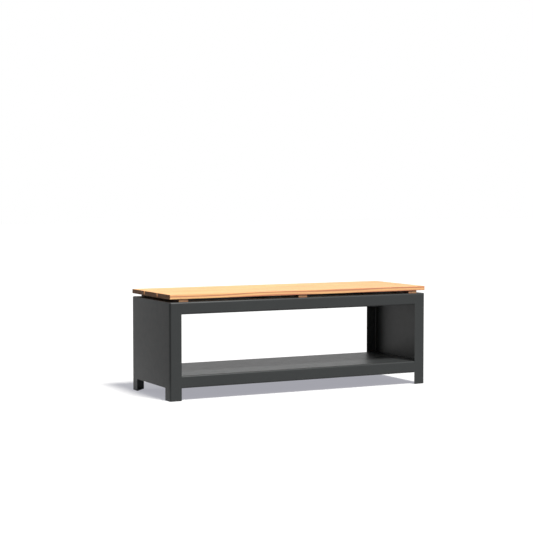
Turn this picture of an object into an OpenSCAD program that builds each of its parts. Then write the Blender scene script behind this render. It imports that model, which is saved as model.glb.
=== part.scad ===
// Storage bench: a folded sheet-steel body, open at the front and the back, under a slatted hardwood seat.
// X runs along the length, the front faces -Y and Z is up.
// The origin is the centre of the footprint, on the floor.

/* [Body] */
// Length of the body and of the seat
bench_length = 1200; // [900:10:1500]
// Depth of the body and of the seat
bench_depth = 400; // [350:10:500]
// Height of the steel body
body_height = 395; // [340:5:460]
// Width of each leg, seen from the front and from the side
leg_width = 50; // [40:1:70]
// Clear height between the floor and the body
ground_clearance = 50; // [30:1:90]
// Height of the rail above the bay
top_rail_height = 50; // [42:1:70]
// Height of the rail below the bay
bottom_rail_height = 50; // [44:1:70]

/* [Sheet steel] */
// Thickness of every folded sheet
sheet = 2; // [1.5:0.5:3]
// Outside radius of the folds
fold_radius = 7; // [4:0.5:10]
// Width of the flange on top of the front and back rails
rail_flange = 50; // [40:1:55]
// Width of the flange on top of each side panel
side_flange = 30; // [20:1:35]
// Width of the turned-in edge under the rails and under the shelf's aprons
edge_return = 15; // [10:1:20]
// Thickness of the corner plate at the bottom of each leg
foot_thickness = 3; // [2:0.5:5]

/* [Shelf] */
// Height of the turned-down flange at each end of the shelf
shelf_end_flange = 20; // [12:1:30]
// Distance between the middles of the two channels under the shelf
channel_spacing = 400; // [200:10:700]
// Width of each channel under the shelf
channel_width = 40; // [30:1:60]
// Height of each channel under the shelf
channel_height = 26; // [16:1:30]

/* [Seat supports] */
// Width of each crossbar under a batten
crossbar_width = 40; // [32:1:50]
// Height of the crossbars' lower edge above the rails' lower edge
crossbar_lift = 10; // [8:1:20]
// Width of each batten
batten_width = 40; // [30:1:50]
// Thickness of each batten, which is the shadow gap under the seat
batten_thickness = 12; // [8:1:16]
// Distance from the end of the body to the middle of the outer battens
batten_inset = 60; // [58:1:150]
// Distance from the front of the body to the ends of the battens
batten_end_inset = 3.5; // [1:0.5:8]

/* [Seat] */
// Thickness of each of the three planks
plank_thickness = 18; // [16:1:28]
// Gap between two planks
plank_gap = 6; // [3:1:20]
// Radius of the planks' rounded edges
plank_round = 1; // [0.5:0.5:3]

/* [Screws] */
// Depth to which every screw reaches into a plank
screw_bite = 11; // [8:0.5:12]
// Shank diameter of the screws that hold the planks to the battens
batten_screw_diameter = 4; // [3.5:0.5:5]
// Distance from a plank's long edges to its batten screws
batten_screw_edge = 25; // [15:1:35]
// Shank diameter of the screws that hold the seat to the crossbars
fixing_screw_diameter = 5; // [4:0.5:6]
// Height of the fixing screws' heads
fixing_head_height = 3; // [2.5:0.5:4]
// Diameter of the fixing screws' heads where they bear on the washers
fixing_head_diameter = 10; // [8:0.5:12]
// Diameter of the flat face of those heads
fixing_head_face = 7; // [6:0.5:7.5]
// Width over the corners of the sockets in those heads
socket_diameter = 4; // [3:0.5:4.5]
// Depth of those sockets
socket_depth = 1.8; // [1.2:0.2:2]
// Outside diameter of the washers
washer_diameter = 15; // [13:1:18]
// Thickness of the washers
washer_thickness = 1.2; // [1:0.2:2]

/* [Hidden] */

$fn = 48;
past = 1;                   // how far a cut runs past the face it opens
hole_clearance = 0.1;       // room round a screw and past its tip
weld_gap = 0.3;             // room between the end of a channel and the inside of a fold
countersink_depth = 0.3;    // how far the heads of the batten screws lie inside the batten

STEEL = "#44484a";
TIMBER = "#d9a066";
BATTEN_TIMBER = "#c48f5a";
ZINC = "#b9bcc0";

half_length = bench_length / 2;
half_depth = bench_depth / 2;
inner_radius = fold_radius - sheet;
clear_length = bench_length - 2 * leg_width;
inside_length = bench_length - 2 * sheet;
inside_depth = bench_depth - 2 * sheet;
fold_free_length = bench_length - 2 * fold_radius;
fold_free_depth = bench_depth - 2 * fold_radius;
shelf_top = ground_clearance + bottom_rail_height;
bay_top = body_height - top_rail_height;
fold_start = body_height - fold_radius;

crossbar_height = top_rail_height - crossbar_lift;
channel_length = fold_free_depth - 2 * weld_gap;
batten_length = bench_depth - 2 * batten_end_inset;
batten_places = [-half_length + batten_inset, 0, half_length - batten_inset];

plank_width = (bench_depth - 2 * plank_gap) / 3;
plank_pitch = plank_width + plank_gap;
plank_bottom = body_height + batten_thickness;
batten_screw_offset = plank_width / 2 - batten_screw_edge;

batten_head_diameter = 2 * batten_screw_diameter;
batten_head_height = batten_screw_diameter / 2;
fixing_hole_diameter = fixing_screw_diameter + 2 * hole_clearance;
fixing_seat = body_height - sheet - washer_thickness;

// A rectangle centred on the origin with round corners.
module round_rectangle(w, h, r) {
    square([w - 2 * r, h], center = true);
    square([w, h - 2 * r], center = true);
    for (x = [-1, 1], y = [-1, 1]) translate([x * (w / 2 - r), y * (h / 2 - r)]) circle(r);
}

// A rectangle standing on the X axis whose two upper corners are round.
module round_top(w, h, r) {
    translate([-w / 2, 0]) square([w, h - r]);
    translate([-w / 2 + r, 0]) square([w - 2 * r, h]);
    for (x = [-1, 1]) translate([x * (w / 2 - r), h - r]) circle(r);
}

// A U of folded sheet standing on its two edges, with the web on top.
module channel_profile(w, h) {
    difference() {
        round_top(w, h, fold_radius);
        translate([0, -past]) round_top(w - 2 * sheet, h - sheet + past, inner_radius);
    }
}

// A closed ring of folded sheet as deep as the bench, slit below so that it has two turned-in edges.
module slit_ring(h) {
    difference() {
        round_rectangle(bench_depth, h, fold_radius);
        round_rectangle(inside_depth, h - 2 * sheet, inner_radius);
        translate([-half_depth + edge_return, -h / 2 - past])
            square([bench_depth - 2 * edge_return, sheet + 2 * past]);
    }
}

// Extrudes a profile drawn in Y and Z along X, centred.
module along_x(length) {
    rotate([90, 0, 90]) linear_extrude(length, center = true) children();
}

// Extrudes a profile drawn in X and Z along Y, centred.
module along_y(length) {
    rotate([90, 0, 0]) linear_extrude(length, center = true) children();
}

// The body's envelope moved inwards by an inset, with round upright corners and round top edges.
module envelope(inset, bottom) {
    w = bench_length - 2 * inset;
    d = bench_depth - 2 * inset;
    h = body_height - inset - bottom;
    r = fold_radius - inset;
    translate([0, 0, bottom]) intersection() {
        linear_extrude(h) round_rectangle(w, d, r);
        along_x(w + past) round_top(d, h, r);
        along_y(d + past) round_top(w, h, r);
    }
}

// The skin that the side panels and the top rails are cut from: four walls and a frame of flanges on top.
module skin() {
    difference() {
        envelope(0, 0);
        envelope(sheet, -past);
        translate([-half_length + side_flange, -half_depth + rail_flange, 0])
            cube([bench_length - 2 * side_flange, bench_depth - 2 * rail_flange, body_height + past]);
    }
}

// The part of the frame of flanges that belongs to the left side panel, mitred where it meets the rails.
module side_flange_zone() {
    translate([0, 0, fold_start]) linear_extrude(fold_radius + past) polygon([
        [-half_length - past, -half_depth - past],
        [-half_length + side_flange, -half_depth + side_flange],
        [-half_length + side_flange, half_depth - side_flange],
        [-half_length - past, half_depth + past]]);
}

// Side panel with a leg folded round each upright corner and a flange on top. The left one is drawn.
module side_panel() {
    difference() {
        intersection() {
            skin();
            union() {
                side_flange_zone();
                translate([-half_length - past, -half_depth - past, -past])
                    cube([leg_width + past, bench_depth + 2 * past, fold_start + past]);
            }
        }
        translate([-half_length - past, -half_depth + leg_width, -past])
            cube([leg_width, bench_depth - 2 * leg_width, ground_clearance + past]);
    }
}

module left_side_panel() {
    color(STEEL) side_panel();
}

module right_side_panel() {
    color(STEEL) mirror([1, 0, 0]) side_panel();
}

// Rail above the bay, with a flange on top and a turned-in lower edge. The front one is drawn.
module top_rail() {
    difference() {
        intersection() {
            skin();
            translate([-half_length - past, -half_depth - past, fold_start])
                cube([bench_length + 2 * past, rail_flange + past, fold_radius + past]);
        }
        side_flange_zone();
        mirror([1, 0, 0]) side_flange_zone();
    }
    intersection() {
        translate([0, 0, body_height - top_rail_height / 2])
            along_x(clear_length) slit_ring(top_rail_height);
        translate([-half_length, -half_depth - past, bay_top - past])
            cube([bench_length, edge_return + past, fold_start - bay_top + past]);
    }
}

module front_top_rail() {
    color(STEEL) top_rail();
}

module back_top_rail() {
    color(STEEL) mirror([0, 1, 0]) top_rail();
}

// Plan of the shelf's floor, which runs on between the legs to both side panels.
module shelf_plan() {
    square([inside_length, fold_free_depth], center = true);
    for (x = [-1, 1]) translate([x * (clear_length + fold_free_length) / 4, 0])
        square([leg_width - fold_radius, inside_depth], center = true);
}

// Floor of the bay: one sheet folded down into an apron at the front and the back and a flange at each end.
module shelf() {
    color(STEEL) {
        translate([0, 0, shelf_top - bottom_rail_height / 2])
            along_x(clear_length) slit_ring(bottom_rail_height);
        translate([0, 0, shelf_top - shelf_end_flange]) intersection() {
            along_y(bench_depth) channel_profile(inside_length, shelf_end_flange);
            linear_extrude(shelf_end_flange) shelf_plan();
        }
    }
}

// Channel welded under the shelf, open towards it.
module shelf_channel(x) {
    color(STEEL) translate([x, 0, shelf_top - sheet]) mirror([0, 0, 1])
        along_y(channel_length) channel_profile(channel_width, channel_height);
}

module left_shelf_channel() {
    shelf_channel(-channel_spacing / 2);
}

module right_shelf_channel() {
    shelf_channel(channel_spacing / 2);
}

// Places one copy of a screw, a washer or a hole at every crossing of a batten and a plank.
module at_crossings(bottom) {
    for (x = batten_places, y = [-plank_pitch, 0, plank_pitch]) translate([x, y, bottom]) children();
}

// Places two copies at every crossing, one near each long edge of the plank.
module at_crossing_edges(bottom) {
    at_crossings(bottom) {
        translate([0, -batten_screw_offset, 0]) children();
        translate([0, batten_screw_offset, 0]) children();
    }
}

// Pan-head screw that points up. The origin is the underside of its head.
module fixing_screw() {
    difference() {
        union() {
            cylinder(h = plank_bottom + screw_bite - fixing_seat, d = fixing_screw_diameter);
            translate([0, 0, -fixing_head_height / 2])
                cylinder(h = fixing_head_height / 2, d = fixing_head_diameter);
            translate([0, 0, -fixing_head_height])
                cylinder(h = fixing_head_height / 2, d1 = fixing_head_face, d2 = fixing_head_diameter);
        }
        translate([0, 0, -fixing_head_height - past])
            cylinder(h = socket_depth + past, d = socket_diameter, $fn = 6);
    }
}

// Countersunk screw that points up, or the hole for one when it is given room.
// The origin is the flat of its head.
module batten_screw(room) {
    d = batten_screw_diameter + 2 * room;
    cylinder(h = batten_thickness + screw_bite - countersink_depth + room, d = d);
    cylinder(h = batten_head_height, d1 = batten_head_diameter + 2 * room, d2 = d);
}

// Every hole that the two kinds of screws need in the steel, the battens and the planks.
module screw_holes() {
    at_crossings(fixing_seat)
        cylinder(h = plank_bottom + screw_bite + hole_clearance - fixing_seat, d = fixing_hole_diameter);
    at_crossing_edges(body_height + countersink_depth) batten_screw(hole_clearance);
    at_crossing_edges(body_height)
        cylinder(h = countersink_depth, d = batten_head_diameter + 2 * hole_clearance);
}

// Crossbar from rail to rail. Its web lies level between the rails' flanges.
// Its walls run on under them.
module crossbar(x) {
    color(STEEL) difference() {
        translate([x, 0, body_height - crossbar_height])
            along_y(channel_length) channel_profile(crossbar_width, crossbar_height);
        for (y = [-half_depth, half_depth]) translate([x, y, body_height])
            cube([crossbar_width + past, 2 * rail_flange, 2 * sheet], center = true);
        at_crossings(fixing_seat) cylinder(h = sheet + washer_thickness + past, d = fixing_hole_diameter);
    }
}

module left_crossbar() {
    crossbar(batten_places[0]);
}

module middle_crossbar() {
    crossbar(batten_places[1]);
}

module right_crossbar() {
    crossbar(batten_places[2]);
}

// Batten under the planks, almost as long as the bench is deep.
module batten(x) {
    color(BATTEN_TIMBER) difference() {
        translate([x - batten_width / 2, -batten_length / 2, body_height])
            cube([batten_width, batten_length, batten_thickness]);
        screw_holes();
    }
}

module left_batten() {
    batten(batten_places[0]);
}

module middle_batten() {
    batten(batten_places[1]);
}

module right_batten() {
    batten(batten_places[2]);
}

// Seat plank with every edge rounded and blind holes for its screws underneath.
module plank(y) {
    color(TIMBER) difference() {
        translate([0, y, plank_bottom + plank_thickness / 2]) intersection() {
            along_x(bench_length) round_rectangle(plank_width, plank_thickness, plank_round);
            along_y(plank_width) round_rectangle(bench_length, plank_thickness, plank_round);
            linear_extrude(plank_thickness, center = true)
                round_rectangle(bench_length, plank_width, plank_round);
        }
        screw_holes();
    }
}

module front_plank() {
    plank(-plank_pitch);
}

module middle_plank() {
    plank(0);
}

module back_plank() {
    plank(plank_pitch);
}

// Screws that hold the planks to the battens, driven up from the battens' undersides.
module batten_screws() {
    color(ZINC) at_crossing_edges(body_height + countersink_depth) batten_screw(0);
}

// Screws that hold the seat to the body, driven up through a washer, a crossbar and a batten into a plank.
module fixing_screws() {
    color(ZINC) at_crossings(fixing_seat) fixing_screw();
}

// One washer under the head of each fixing screw.
module fixing_washers() {
    color(ZINC) at_crossings(fixing_seat) difference() {
        cylinder(h = washer_thickness, d = washer_diameter);
        translate([0, 0, -past]) cylinder(h = washer_thickness + 2 * past, d = fixing_hole_diameter);
    }
}

// Corner plate that closes the bottom of the front left leg.
// Its corner is cut to clear the inside of the fold.
module foot() {
    reach = leg_width - sheet;
    color(STEEL) translate([-half_length + sheet, -half_depth + sheet, 0]) linear_extrude(foot_thickness)
        polygon([[inner_radius, 0], [reach, 0], [0, reach], [0, inner_radius]]);
}

module front_left_foot() {
    foot();
}

module front_right_foot() {
    mirror([1, 0, 0]) foot();
}

module back_left_foot() {
    mirror([0, 1, 0]) foot();
}

module back_right_foot() {
    mirror([1, 0, 0]) mirror([0, 1, 0]) foot();
}

left_side_panel();
right_side_panel();
front_top_rail();
back_top_rail();
shelf();
left_shelf_channel();
right_shelf_channel();
left_crossbar();
middle_crossbar();
right_crossbar();
left_batten();
middle_batten();
right_batten();
front_plank();
middle_plank();
back_plank();
batten_screws();
fixing_screws();
fixing_washers();
front_left_foot();
front_right_foot();
back_left_foot();
back_right_foot();
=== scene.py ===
import math
import random

import bmesh
import bpy
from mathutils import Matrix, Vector


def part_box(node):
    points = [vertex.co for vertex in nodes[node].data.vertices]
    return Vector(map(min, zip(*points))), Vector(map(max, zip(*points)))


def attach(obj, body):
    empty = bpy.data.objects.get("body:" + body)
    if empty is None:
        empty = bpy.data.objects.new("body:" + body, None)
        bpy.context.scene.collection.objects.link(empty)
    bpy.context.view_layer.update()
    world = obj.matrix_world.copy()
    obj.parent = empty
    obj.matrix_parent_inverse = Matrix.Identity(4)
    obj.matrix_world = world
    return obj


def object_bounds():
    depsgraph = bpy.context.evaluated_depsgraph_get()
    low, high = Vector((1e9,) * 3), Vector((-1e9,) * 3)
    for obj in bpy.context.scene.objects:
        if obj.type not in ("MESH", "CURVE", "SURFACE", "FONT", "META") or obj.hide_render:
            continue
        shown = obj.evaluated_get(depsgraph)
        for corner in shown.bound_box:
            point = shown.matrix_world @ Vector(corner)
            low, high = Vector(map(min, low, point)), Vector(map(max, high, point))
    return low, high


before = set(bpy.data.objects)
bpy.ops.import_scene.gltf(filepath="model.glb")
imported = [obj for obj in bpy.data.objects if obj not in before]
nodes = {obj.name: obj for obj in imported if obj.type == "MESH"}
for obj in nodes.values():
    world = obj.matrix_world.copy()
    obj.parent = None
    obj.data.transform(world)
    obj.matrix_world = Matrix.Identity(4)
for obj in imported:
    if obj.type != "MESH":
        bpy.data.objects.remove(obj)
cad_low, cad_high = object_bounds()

# The bench's finish: powder-coated folded steel with its weld beads, solid wood with rings, fibres and
# pores, and zinc-plated screws. Lengths are in metres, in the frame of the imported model.

scene = bpy.context.scene
scene.view_settings.view_transform = "Standard"


# Camera: its place, direction and lens come from a fit to the straight edges of the reference picture.

CAMERA_PLACE = Vector((-2.7872, -5.3035, 0.8266))
CAMERA_DIRECTION = Vector((0.45554, 0.88869, -0.05205))
CAMERA_LENS_MM = 94.94
CAMERA_SENSOR_MM = 36.0


def make_camera():
    data = bpy.data.cameras.new("camera")
    data.lens = CAMERA_LENS_MM
    data.sensor_width = CAMERA_SENSOR_MM
    camera = bpy.data.objects.new("camera", data)
    camera.location = CAMERA_PLACE
    camera.rotation_euler = CAMERA_DIRECTION.to_track_quat("-Z", "Y").to_euler()
    scene.collection.objects.link(camera)
    scene.camera = camera


class Graph:
    """Builds the nodes of a material or a world. An input is a socket to link, or a plain value to set."""

    def __init__(self, owner):
        owner.use_nodes = True
        self.owner = owner
        self.tree = owner.node_tree
        self.tree.nodes.clear()

    def add(self, kind, inputs=None, **settings):
        node = self.tree.nodes.new(kind)
        for key, value in settings.items():
            setattr(node, key, value)
        for key, value in (inputs or {}).items():
            if isinstance(value, bpy.types.NodeSocket):
                self.tree.links.new(value, node.inputs[key])
            else:
                node.inputs[key].default_value = value
        return node

    def place(self):
        return self.add("ShaderNodeTexCoord").outputs["Object"]

    def normal(self, axis):
        """The part of the surface's direction that lies along one axis, from -1 to 1."""
        return self.split(self.add("ShaderNodeNewGeometry").outputs["True Normal"])[axis]

    def facing(self, axis, low, high):
        """Rises from 0 to 1 as the surface turns to face along one axis, either way."""
        return self.remap(self.math("ABSOLUTE", self.normal(axis)), low, high)

    def seen(self):
        """1 for the rays that show a background: from the camera, and by way of gloss and glass."""
        rays = self.add("ShaderNodeLightPath").outputs
        direct_or_gloss = self.math("MAXIMUM", rays["Is Camera Ray"], rays["Is Glossy Ray"])
        return self.math("MAXIMUM", direct_or_gloss, rays["Is Transmission Ray"])

    def split(self, vector):
        return self.add("ShaderNodeSeparateXYZ", {0: vector}).outputs

    def math(self, operation, a, b=0.0, clamp=False):
        return self.add("ShaderNodeMath", {0: a, 1: b}, operation=operation, use_clamp=clamp).outputs[0]

    def vector(self, operation, a, b):
        return self.add("ShaderNodeVectorMath", {0: a, 1: b}, operation=operation).outputs[0]

    def noise(self, vector, scale=1.0, detail=2.0, roughness=0.5, output="Fac"):
        inputs = {"Vector": vector, "Scale": scale, "Detail": detail, "Roughness": roughness}
        return self.add("ShaderNodeTexNoise", inputs).outputs[output]

    def stretch(self, vector, scale, location=(0, 0, 0), rotation=(0, 0, 0)):
        inputs = {"Vector": vector, "Scale": scale, "Location": location, "Rotation": rotation}
        return self.add("ShaderNodeMapping", inputs).outputs[0]

    def remap(self, value, low, high, to_low=0.0, to_high=1.0):
        inputs = {"Value": value, "From Min": low, "From Max": high, "To Min": to_low, "To Max": to_high}
        return self.add("ShaderNodeMapRange", inputs).outputs[0]

    def ramp(self, value, stops):
        """A ramp of grey levels."""
        node = self.add("ShaderNodeValToRGB", {0: value})
        elements = node.color_ramp.elements
        elements[0].position, elements[-1].position = stops[0][0], stops[-1][0]
        elements[0].color, elements[-1].color = grey(stops[0][1]), grey(stops[-1][1])
        for position, level in stops[1:-1]:
            elements.new(position).color = grey(level)
        return node.outputs[0]

    def mix(self, factor, a, b, blend_type="MIX"):
        a, b = (color if isinstance(color, bpy.types.NodeSocket) else (*color, 1) for color in (a, b))
        inputs = {0: factor, 6: a, 7: b}
        return self.add("ShaderNodeMix", inputs, data_type="RGBA", blend_type=blend_type).outputs[2]

    def tint(self, where, color, by):
        """Multiplies a colour where the factor is 1."""
        return self.mix(where, color, self.mix(1.0, color, by, blend_type="MULTIPLY"))

    def bump(self, height, distance, strength, normal=None):
        inputs = {"Height": height, "Distance": distance, "Strength": strength}
        if normal is not None:
            inputs["Normal"] = normal
        return self.add("ShaderNodeBump", inputs).outputs[0]

    def diffuse(self, color):
        return self.add("ShaderNodeBsdfDiffuse", {"Color": (*color, 1)}).outputs[0]

    def finish(self, shader):
        is_world = isinstance(self.owner, bpy.types.World)
        self.add("ShaderNodeOutputWorld" if is_world else "ShaderNodeOutputMaterial", {"Surface": shader})
        return self.owner

    def surface(self, **inputs):
        return self.finish(self.add("ShaderNodeBsdfPrincipled", inputs).outputs[0])


def grey(level):
    return (level, level, level, 1)


def new_material(name):
    return Graph(bpy.data.materials.new(name))


NOISE_SPAN = (0.3, 0.7)   # most of a noise lies between these


# Powder coat

COAT_DARK = (0.0310, 0.0337, 0.0347)
COAT_LIGHT = (0.0328, 0.0356, 0.0362)
COAT_WORN = (0.12, 0.12, 0.115)
COAT_ROUGHNESS = (0.40, 0.44)
COAT_SPECULAR = 0.25
CLOUD_SCALE, CLOUD_DETAIL, CLOUD_EDGE = 7, 4, (0.35, 0.65)
SHEEN_SCALE, SHEEN_DETAIL = 35, 3
GRAIN_SCALE, GRAIN_HEIGHT = 1100, 0.00013
PEEL_SCALE, PEEL_HEIGHT = 240, 0.00022
COAT_RELIEF = 0.6
SCRATCH_STRETCH = (700, 9, 700)
SCRATCH_TURN = 0.12
SCRATCH_EDGE = (0.62, 0.72)
PATCH_SCALE, PATCH_EDGE = 5, (0.45, 0.65)
FACING_UP = (0.9, 0.99)
WEAR = 0.5


def powder_coat(name, scuffed=False):
    """A fine grain over the soft peel of a baked coat.

    A scuffed piece is scratched on its top, from front to back.
    """
    g = new_material(name)
    place = g.place()
    clouds = g.noise(place, scale=CLOUD_SCALE, detail=CLOUD_DETAIL)
    color = g.mix(g.remap(clouds, *CLOUD_EDGE), COAT_DARK, COAT_LIGHT)
    sheen = g.noise(place, scale=SHEEN_SCALE, detail=SHEEN_DETAIL)
    roughness = g.remap(sheen, *NOISE_SPAN, *COAT_ROUGHNESS)
    if scuffed:
        lanes = g.stretch(place, SCRATCH_STRETCH, rotation=(0, 0, SCRATCH_TURN))
        scratches = g.remap(g.noise(lanes, detail=3, roughness=0.6), *SCRATCH_EDGE)
        patches = g.remap(g.noise(place, scale=PATCH_SCALE, detail=2), *PATCH_EDGE)
        upward = g.remap(g.normal(2), *FACING_UP)
        worn = g.math("MULTIPLY", scratches, g.math("MULTIPLY", patches, upward))
        color = g.mix(g.math("MULTIPLY", worn, WEAR), color, COAT_WORN)
    grain = g.noise(place, scale=GRAIN_SCALE, detail=2, roughness=0.6)
    peel = g.noise(place, scale=PEEL_SCALE, detail=2)
    normal = g.bump(grain, GRAIN_HEIGHT, COAT_RELIEF, normal=g.bump(peel, PEEL_HEIGHT, COAT_RELIEF))
    return g.surface(**{
        "Base Color": color, "Roughness": roughness, "Specular IOR Level": COAT_SPECULAR, "Normal": normal})


# Wood. A stretch gives how fast a noise changes along the grain and across it, twice.

PALE_WOOD = (0.97, 0.585, 0.255)
RED_WOOD = (0.60, 0.228, 0.130)
PORE_WOOD = (0.36, 0.16, 0.08)
PLANK_END_TINT = (0.245, 0.215, 0.180)
BATTEN_END_TINT = (0.58, 0.61, 0.68)
# Painted shade: darkens the long sides of the battens, which stand in the shadow under the seat
SIDE_SHADE_TINT = (0.22, 0.24, 0.28)

BEND_STRETCH, BEND_REACH = (0.9, 5, 5), 0.02
WAVE_STRETCH, WAVE_REACH = (4.5, 40, 40), 0.0024
UNEVEN_STRETCH, UNEVEN_SCALE, UNEVEN_REACH = (0.08, 0.8, 0.8), 30, 1.4
FIBRE_STRETCH, FIBRE_EDGE = (9, 700, 700), (0.35, 0.7)
STREAK_STRETCH, STREAK_EDGE = (2.2, 90, 90), (0.35, 0.75)
PORE_STRETCH, PORE_EDGE = (70, 1900, 1900), (0.68, 0.74)
PAINTED_TOP_LIGHT_EDGE = (0.3, 0.8)
SIDE_EDGE = (0.55, 0.85)

RING_STOPS = [(0.0, 0.15), (0.40, 0.0), (0.74, 1.0), (0.92, 0.9), (1.0, 0.15)]
# Painted light and shade: less late wood on the top, more on upright faces, so the top looks lit and the
# sides shaded
LATE_ON_TOP_PAINTED_LIGHT, LATE_UPRIGHT_PAINTED_SHADE = 0.42, 1.15
STREAK_AMOUNT = (-0.15, 0.5)
FIBRE_AMOUNT = 0.28
PORE_AMOUNT = 0.55

WOOD_ROUGHNESS = (0.50, 0.64)
WOOD_SPECULAR = 0.2
WOOD_RELIEF_HEIGHT, WOOD_RELIEF = 0.00018, 0.7
FIBRE_HEIGHT, LATE_HEIGHT = 0.6, 0.25


def wood(name, pith, spacing, turn=0.0, shade=1.0, redden=0.0, end_tint=PLANK_END_TINT, side_shade_tint=None):
    """Solid wood whose rings run round a pith line along X, which is turned about Z for a cross-grain piece.

    The rings of dark late wood are weighted less on the top of a piece and more on its upright faces: this
    paints the top lighter and the upright faces darker, as painted light from above. Towards its right end a
    piece can get redder. The long sides of a batten are painted darker, as painted shade for the shadow
    between the seat and the rails.
    """
    g = new_material(name)
    place = g.stretch(g.place(), (1, 1, 1), rotation=(0, 0, turn))
    pale, red, dark = (tuple(shade * c for c in color) for color in (PALE_WOOD, RED_WOOD, PORE_WOOD))

    def noise(stretch, **settings):
        return g.noise(g.stretch(place, stretch, location=pith), **settings)

    def sway(vector, stretch, reach, detail):
        """Shifts a place across the grain."""
        shift = g.vector("SUBTRACT", noise(stretch, detail=detail, output="Color"), (0.5, 0.5, 0.5))
        return g.vector("ADD", vector, g.vector("MULTIPLY", shift, (0, reach, reach)))

    bent = sway(sway(place, BEND_STRETCH, BEND_REACH, 1), WAVE_STRETCH, WAVE_REACH, 3)
    across = g.stretch(g.vector("SUBTRACT", bent, pith), (0, 1, 1))
    radius = g.add("ShaderNodeVectorMath", {0: across}, operation="LENGTH").outputs["Value"]
    uneven = g.math("MULTIPLY", noise(UNEVEN_STRETCH, scale=UNEVEN_SCALE, detail=1), UNEVEN_REACH)
    ring = g.math("FRACT", g.math("ADD", g.math("DIVIDE", radius, spacing), uneven))
    late = g.ramp(ring, RING_STOPS)

    fibres = noise(FIBRE_STRETCH, detail=4, roughness=0.65)
    streaks = noise(STREAK_STRETCH, detail=3, roughness=0.6)
    pores = g.remap(noise(PORE_STRETCH, detail=1), *PORE_EDGE)

    # Painted light and shade: the late wood is weighted by how far a face turns up, lighter on top, darker
    # upright
    level = g.facing(2, *PAINTED_TOP_LIGHT_EDGE)
    rings = g.math("MULTIPLY", late, g.remap(level, 0.0, 1.0, LATE_UPRIGHT_PAINTED_SHADE, LATE_ON_TOP_PAINTED_LIGHT))
    along = g.remap(g.split(place)[0], cad_low[0], cad_high[0], -redden / 2, redden / 2)
    streaked = g.remap(streaks, *STREAK_EDGE, *STREAK_AMOUNT)
    color = g.mix(g.math("ADD", g.math("ADD", rings, along), streaked, clamp=True), pale, red)
    color = g.mix(g.remap(fibres, *FIBRE_EDGE, 0.0, FIBRE_AMOUNT), color, red)
    color = g.mix(g.math("MULTIPLY", pores, PORE_AMOUNT), color, dark)
    end_axis, side_axis = (1, 0) if turn else (0, 1)
    color = g.tint(g.facing(end_axis, *SIDE_EDGE), color, end_tint)
    # Painted shade on the long sides of a batten, for the shadow between the seat and the rails
    if side_shade_tint is not None:
        color = g.tint(g.facing(side_axis, *SIDE_EDGE), color, side_shade_tint)

    roughness = g.remap(fibres, *NOISE_SPAN, *WOOD_ROUGHNESS)
    raised = g.math("ADD", g.math("MULTIPLY", fibres, FIBRE_HEIGHT), g.math("MULTIPLY", late, LATE_HEIGHT))
    normal = g.bump(g.math("SUBTRACT", raised, pores), WOOD_RELIEF_HEIGHT, WOOD_RELIEF)
    return g.surface(**{
        "Base Color": color, "Roughness": roughness, "Specular IOR Level": WOOD_SPECULAR, "Normal": normal})


# Each plank and batten is cut from another place in the tree, so each has its own pith line and ring width.
PLANKS = {
    "front_plank": dict(pith=(3.1, -0.235, 0.344), spacing=0.0115, redden=0.20),
    "middle_plank": dict(pith=(7.7, 0.055, 0.330), spacing=0.0062, shade=0.97, redden=0.17),
    "back_plank": dict(pith=(12.3, 0.100, 0.500), spacing=0.0068, shade=1.02, redden=0.15),
}
CROSS_CUT = dict(turn=math.pi / 2, end_tint=BATTEN_END_TINT, side_shade_tint=SIDE_SHADE_TINT)
BATTENS = {
    "left_batten": dict(pith=(1.7, 0.530, 0.360), spacing=0.0050, shade=0.77, **CROSS_CUT),
    "middle_batten": dict(pith=(5.2, -0.030, 0.350), spacing=0.0056, shade=0.81, **CROSS_CUT),
    "right_batten": dict(pith=(9.4, -0.560, 0.340), spacing=0.0052, shade=0.87, **CROSS_CUT),
}


# Zinc plating

ZINC_DARK = (0.46, 0.47, 0.50)
ZINC_LIGHT = (0.66, 0.66, 0.64)
ZINC_ROUGHNESS = (0.26, 0.42)
ZINC_HEIGHT, ZINC_RELIEF = 0.00002, 0.6
SPANGLE_SCALE, SMEAR_SCALE, PIT_SCALE = 420, 900, 2500


def zinc_plate(name):
    g = new_material(name)
    place = g.place()
    color = g.mix(g.noise(place, scale=SPANGLE_SCALE, detail=3), ZINC_DARK, ZINC_LIGHT)
    smears = g.noise(place, scale=SMEAR_SCALE, detail=2)
    roughness = g.remap(smears, *NOISE_SPAN, *ZINC_ROUGHNESS)
    normal = g.bump(g.noise(place, scale=PIT_SCALE, detail=2), ZINC_HEIGHT, ZINC_RELIEF)
    return g.surface(**{"Base Color": color, "Metallic": 1.0, "Roughness": roughness, "Normal": normal})


def dress(names, material):
    for name in names:
        for slot in nodes[name].material_slots:
            slot.material = material


def dress_nodes():
    """Gives every CAD node its finish, and returns the powder coat for the weld beads."""
    coat = powder_coat("powder_coat")
    dress([name for name in nodes if name.endswith(("panel", "rail", "channel", "crossbar", "foot"))], coat)
    dress(["shelf"], powder_coat("shelf_powder_coat", scuffed=True))
    for name, cut in {**PLANKS, **BATTENS}.items():
        dress([name], wood(name + "_wood", **cut))
    dress(["batten_screws", "fixing_screws", "fixing_washers"], zinc_plate("zinc_plate"))
    return coat


# Weld beads: the folded sheets are joined from inside and below, where the beads are left as they are and
# painted over.

SHEET = 0.002            # thickness of the folded sheets
BEAD_STEP = 0.0007       # from one cross-section to the next
FEWEST_STEPS = 8
BEAD_RIPPLE = 0.0021     # from one ripple to the next
RIPPLE_LOW, RIPPLE_RISE = 0.90, 0.12
BEAD_TAPER = 0.003       # over which a bead swells at its start and thins out at its end
BEAD_TIP = 0.02          # keeps its very ends from shrinking to a point
BEAD_ROOT = 0.0004       # how deep it reaches into its corner
DRIFT_SLOW, DRIFT_FAST = (0.05, 310), (0.04, 830)   # how much its thickness drifts, and how fast
DRIFT_TURN = 6.28
WELD_SEED = 7

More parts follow.
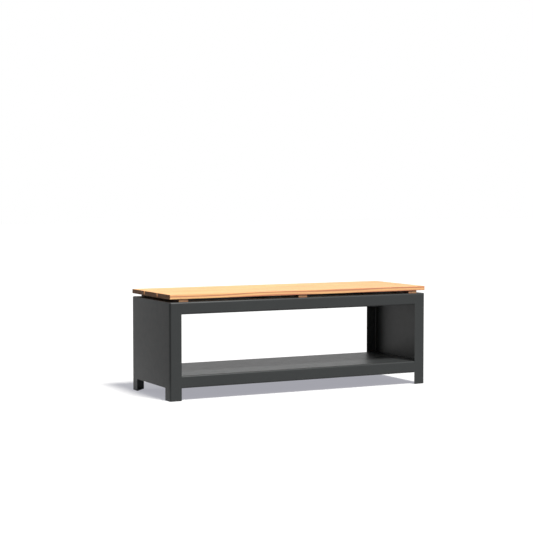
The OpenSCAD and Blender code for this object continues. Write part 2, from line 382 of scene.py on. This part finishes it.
# The crown of a bead, as a share of its legs: in a corner, and on a flat seam, whose legs lie opposite
CORNER_CROWN, SEAM_CROWN = 0.72, 0.42
CROWN_STEPS = (0.25, 0.5, 0.75)
CROWN_SWELL = 0.42
CHORD_SHARE = 0.92
OPPOSITE = -0.9

# Legs of the beads
FLANGE_LEG = 0.0025
FILLET_LEG = 0.003
SEAM_LEG = 0.0024
CROSSBAR_LEG, CROSSBAR_LEAN, CROSSBAR_DROP = 0.0036, 0.0016, 0.0026

# Runs of short beads: how far they reach from the middle, how many they are, and the length of each
FLANGE_STITCHES = (0.120, 4, 0.030)
CHANNEL_STITCHES = (0.160, 5, 0.028)

# Where the beads lie on the pieces that they join
END_FLANGE = 0.020           # height of the shelf's end flanges
CROSSBAR_FOLD = 0.0021       # how far a crossbar's fold has turned in where it meets the rail's flange
CROSSBAR_MARGINS = (0.003, 0.0027)   # from the flange's edge, and from the crossbar's end
FOOT_MARGINS = (0.008, 0.006)        # from the leg's corner, and from the plate's edge
SEAM_MARGINS = {"back_top_rail": (0.007, 0.011), "shelf": (0.005, 0.010)}   # from below and from above


def bead_section(place, along, a, b, grow):
    """One cross-section: over the crown from the end of leg a to the end of leg b, and into the corner."""
    a_way, b_way = a.normalized(), b.normalized()
    if a_way.dot(b_way) < OPPOSITE:
        crown, share = along.cross(a_way), SEAM_CROWN
    else:
        crown, share = (a_way + b_way).normalized(), CORNER_CROWN
    height = (a.length + b.length) / 2 * share
    points = [place + a * grow]
    for t in CROWN_STEPS:
        chord = (a * (1 - t) + b * t) * grow * CHORD_SHARE
        points.append(place + chord + crown * height * CROWN_SWELL * math.sin(math.pi * t) * grow)
    points.append(place + b * grow)
    points.append(place - crown * BEAD_ROOT)
    return points


def add_bead(mesh, rng, start, end, a, b):
    """Adds a rippled bead from start to end, which lies in the corner between its two legs, a and b."""
    start, end, a, b = Vector(start), Vector(end), Vector(a), Vector(b)
    length = (end - start).length
    along = (end - start) / length
    count = max(FEWEST_STEPS, round(length / BEAD_STEP))
    phase = rng.uniform(0, 1)
    wander = rng.uniform(0, DRIFT_TURN)
    (slow, slow_pace), (fast, fast_pace) = DRIFT_SLOW, DRIFT_FAST
    rows = []
    for i in range(count + 1):
        travel = length * i / count
        ripple = RIPPLE_LOW + RIPPLE_RISE * math.sqrt((travel / BEAD_RIPPLE + phase) % 1.0)
        taper = min(1.0, math.sqrt(min(travel, length - travel) / BEAD_TAPER + BEAD_TIP))
        drift = 1 + slow * math.sin(travel * slow_pace + wander)
        drift += fast * math.sin(travel * fast_pace + 2 * wander)
        section = bead_section(start + travel * along, along, a, b, taper * drift * ripple)
        rows.append([mesh.verts.new(point) for point in section])
    for row, after in zip(rows, rows[1:]):
        for j in range(len(row)):
            k = (j + 1) % len(row)
            mesh.faces.new((row[j], row[k], after[k], after[j]))
    mesh.faces.new(rows[0][::-1])
    mesh.faces.new(rows[-1])


def stitches(reach, count, length):
    """Start and end of several short runs along Y, evenly spaced on both sides of the middle."""
    for i in range(count):
        y = -reach + 2 * reach * i / (count - 1)
        yield y - length / 2, y + length / 2


# The beads of each piece. A bead has its start, its end and its two legs.

def shelf_end_beads():
    """Below the shelf's end flanges, on the side panels."""
    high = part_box("shelf")[1]
    z = high[2] - END_FLANGE
    for side in (-1, 1):
        x = side * high[0]
        for y0, y1 in stitches(*FLANGE_STITCHES):
            yield (x, y0, z), (x, y1, z), (-side * SHEET, 0, 0), (0, 0, -FLANGE_LEG)


def channel_beads():
    """Along both edges of each channel, on the underside of the shelf."""
    for name in ("left_shelf_channel", "right_shelf_channel"):
        low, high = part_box(name)
        z = high[2]
        for edge, x in ((-1, low[0]), (1, high[0])):
            for y0, y1 in stitches(*CHANNEL_STITCHES):
                yield (x, y0, z), (x, y1, z), (edge * FILLET_LEG, 0, 0), (0, 0, -FILLET_LEG)


def crossbar_beads():
    """Beside each end of a crossbar, on the underside of the rail's flange."""
    rail_low, rail_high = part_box("back_top_rail")
    z = rail_high[2] - SHEET
    from_flange, from_end = CROSSBAR_MARGINS
    for name in ("left_crossbar", "middle_crossbar", "right_crossbar"):
        low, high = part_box(name)
        run = (rail_low[1] + from_flange, high[1] - from_end)
        for edge, x in ((-1, low[0] + CROSSBAR_FOLD), (1, high[0] - CROSSBAR_FOLD)):
            legs = (edge * CROSSBAR_LEG, 0, 0), (edge * CROSSBAR_LEAN, 0, -CROSSBAR_DROP)
            for end in (-1, 1):
                yield (*[(x, end * y, z) for y in run], *legs)


def foot_beads():
    """On top of each corner plate, along both walls of its leg."""
    low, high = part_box("back_right_foot")
    from_corner, from_edge = FOOT_MARGINS
    runs = [(high[axis] - from_corner, low[axis] + from_edge) for axis in (0, 1)]
    z, upright = high[2], (0, 0, FILLET_LEG)
    for side in (-1, 1):
        for end in (-1, 1):
            yield (*[(side * x, end * high[1], z) for x in runs[0]], (0, -end * FILLET_LEG, 0), upright)
            yield (*[(side * high[0], end * y, z) for y in runs[1]], (-side * FILLET_LEG, 0, 0), upright)


def rail_beads():
    """Up the seams between the legs and the rails, on the inside."""
    leg_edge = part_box("right_side_panel")[0][0]
    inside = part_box("back_right_foot")[1][1]
    for side in (-1, 1):
        for end in (-1, 1):
            for name, (from_below, from_above) in SEAM_MARGINS.items():
                low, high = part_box(name)
                run = [low[2] + from_below, high[2] - from_above]
                if side * end > 0:
                    run.reverse()
                ends = [(side * leg_edge, end * inside, z) for z in run]
                yield (*ends, (side * SEAM_LEG, 0, 0), (-side * SEAM_LEG, 0, 0))


WELDS = {
    "shelf_end_welds": shelf_end_beads,
    "channel_welds": channel_beads,
    "crossbar_welds": crossbar_beads,
    "foot_welds": foot_beads,
    "rail_welds": rail_beads,
}


def make_welds(coat):
    rng = random.Random(WELD_SEED)
    for name, beads in WELDS.items():
        mesh = bmesh.new()
        for bead in beads():
            add_bead(mesh, rng, *bead)
        bmesh.ops.recalc_face_normals(mesh, faces=mesh.faces)
        data = bpy.data.meshes.new(name)
        mesh.to_mesh(data)
        mesh.free()
        for polygon in data.polygons:
            polygon.use_smooth = True
        data.materials.append(coat)
        weld = bpy.data.objects.new(name, data)
        scene.collection.objects.link(weld)
        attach(weld, "root")


# Floor and background

FLOOR_SIZE = 60.0
FLOOR_DROP = 0.0001
PAPER = (0.52, 0.52, 0.50)
DIM_PAPER = (0.26, 0.26, 0.26)
SHADOW_TONE = (0.36, 0.36, 0.40)
AMBIENT_TONE = (0.95, 0.98, 1.0)
AMBIENT_STRENGTH = 0.27
WHITE = (1.0, 1.0, 1.0)


def make_sheet(name, vertices, faces, material):
    """Adds one object of the studio, apart from the bench."""
    mesh = bpy.data.meshes.new(name)
    mesh.from_pydata(vertices, [], faces)
    mesh.materials.append(material)
    sheet = bpy.data.objects.new(name, mesh)
    scene.collection.objects.link(sheet)
    return sheet


def make_floor():
    """A white floor: it shows a pale blue-grey in shadow and gives the bench only a little light back.

    It lies a hair below the feet and can be seen through from below, so that the underside can be looked at.
    """
    g = new_material("floor_paper")
    glow = g.add("ShaderNodeEmission", {"Color": (*SHADOW_TONE, 1), "Strength": 1.0})
    lit_paper = g.add("ShaderNodeAddShader", {0: g.diffuse(PAPER), 1: glow.outputs[0]})
    above = g.add("ShaderNodeMixShader", {0: g.seen(), 1: g.diffuse(DIM_PAPER), 2: lit_paper.outputs[0]})
    underneath = g.add("ShaderNodeNewGeometry").outputs["Backfacing"]
    clear = g.add("ShaderNodeBsdfTransparent")
    surface = g.add("ShaderNodeMixShader", {0: underneath, 1: above.outputs[0], 2: clear.outputs[0]})
    half, z = FLOOR_SIZE / 2, cad_low[2] - FLOOR_DROP
    corners = [(-half, -half, z), (half, -half, z), (half, half, z), (-half, half, z)]
    floor = make_sheet("floor", corners, [(0, 1, 2, 3)], g.finish(surface.outputs[0]))


def make_world():
    """Soft light from all sides, and a plain white where the background shows."""
    g = Graph(bpy.data.worlds.new("world"))
    ambient = g.add("ShaderNodeBackground", {"Color": (*AMBIENT_TONE, 1), "Strength": AMBIENT_STRENGTH})
    white = g.add("ShaderNodeBackground", {"Color": (*WHITE, 1), "Strength": 1.0})
    choice = g.add("ShaderNodeMixShader", {0: g.seen(), 1: ambient.outputs[0], 2: white.outputs[0]})
    scene.world = g.finish(choice.outputs[0])


# Light

SUN_DIRECTION = Vector((-0.11, 0.54, -1.0))
SUN_ENERGY = 4.6
SUN_ANGLE = math.radians(13)
SUN_COLOR = (1.0, 0.985, 0.96)
STRIP_PLACE = Vector((0.05, -1.15, 1.60))
STRIP_TARGET = Vector((cad_low[0], cad_low[1], 0.4))
STRIP_SIZE = 0.3
STRIP_ENERGY = 21.0
FLAG_CLOTH = (0.02, 0.02, 0.02)
SIDE_FLAG_CENTRE = Vector((cad_low[0], cad_low[1], 0.0))
SIDE_FLAG_ARC = (math.radians(114), math.radians(258))
SIDE_FLAG_STEPS = 24
SIDE_FLAG_PROFILE = ((0.25, 0.002), (1.6, 0.002), (1.6, 1.5))
TOP_FLAG_X = (-2.2, 3.6)
TOP_FLAG_Y = (-2.6, 3.0)
TOP_FLAG_Z = 3.4


def add_light(name, kind, direction, energy):
    data = bpy.data.lights.new(name, kind)
    data.energy = energy
    light = bpy.data.objects.new(name, data)
    light.rotation_euler = direction.to_track_quat("-Z", "Y").to_euler()
    scene.collection.objects.link(light)
    return light


def make_sun():
    sun = add_light("key_light", "SUN", SUN_DIRECTION, SUN_ENERGY)
    sun.data.angle = SUN_ANGLE
    sun.data.color = SUN_COLOR


def make_strip_light():
    """A softbox high in front, seen only in reflections: it draws the light line along the rails' folds."""
    strip = add_light("strip_light", "AREA", STRIP_TARGET - STRIP_PLACE, STRIP_ENERGY)
    strip.data.shape = "RECTANGLE"
    strip.data.size = strip.data.size_y = STRIP_SIZE
    strip.location = STRIP_PLACE
    strip.visible_diffuse = False
    strip.visible_transmission = False
    strip.visible_camera = False


def make_flag(name, vertices, faces):
    """A black cloth of the studio, seen only in reflections."""
    g = new_material(name + "_cloth")
    flag = make_sheet(name, vertices, faces, g.finish(g.diffuse(FLAG_CLOTH)))
    flag.visible_camera = False
    flag.visible_diffuse = False
    flag.visible_transmission = False
    flag.visible_shadow = False


def make_flags():
    """A curved flag at the left shades the upright folds, and a flat one overhead shades the rails' folds.

    The curved one runs on over the floor, so that the left side panel isn't lighter at its foot.
    """
    first, last = SIDE_FLAG_ARC
    vertices = []
    for i in range(SIDE_FLAG_STEPS + 1):
        angle = first + (last - first) * i / SIDE_FLAG_STEPS
        outward = Vector((math.cos(angle), math.sin(angle), 0))
        vertices += [SIDE_FLAG_CENTRE + reach * outward + Vector((0, 0, z)) for reach, z in SIDE_FLAG_PROFILE]
    row = len(SIDE_FLAG_PROFILE)
    corners = [row * i + k for i in range(SIDE_FLAG_STEPS) for k in range(row - 1)]
    make_flag("side_flag", vertices, [(c, c + row, c + row + 1, c + 1) for c in corners])
    (x0, x1), (y0, y1), z = TOP_FLAG_X, TOP_FLAG_Y, TOP_FLAG_Z
    make_flag("top_flag", [(x0, y0, z), (x1, y0, z), (x1, y1, z), (x0, y1, z)], [(0, 1, 2, 3)])


make_camera()
make_welds(dress_nodes())
make_floor()
make_world()
make_sun()
make_strip_light()
make_flags()
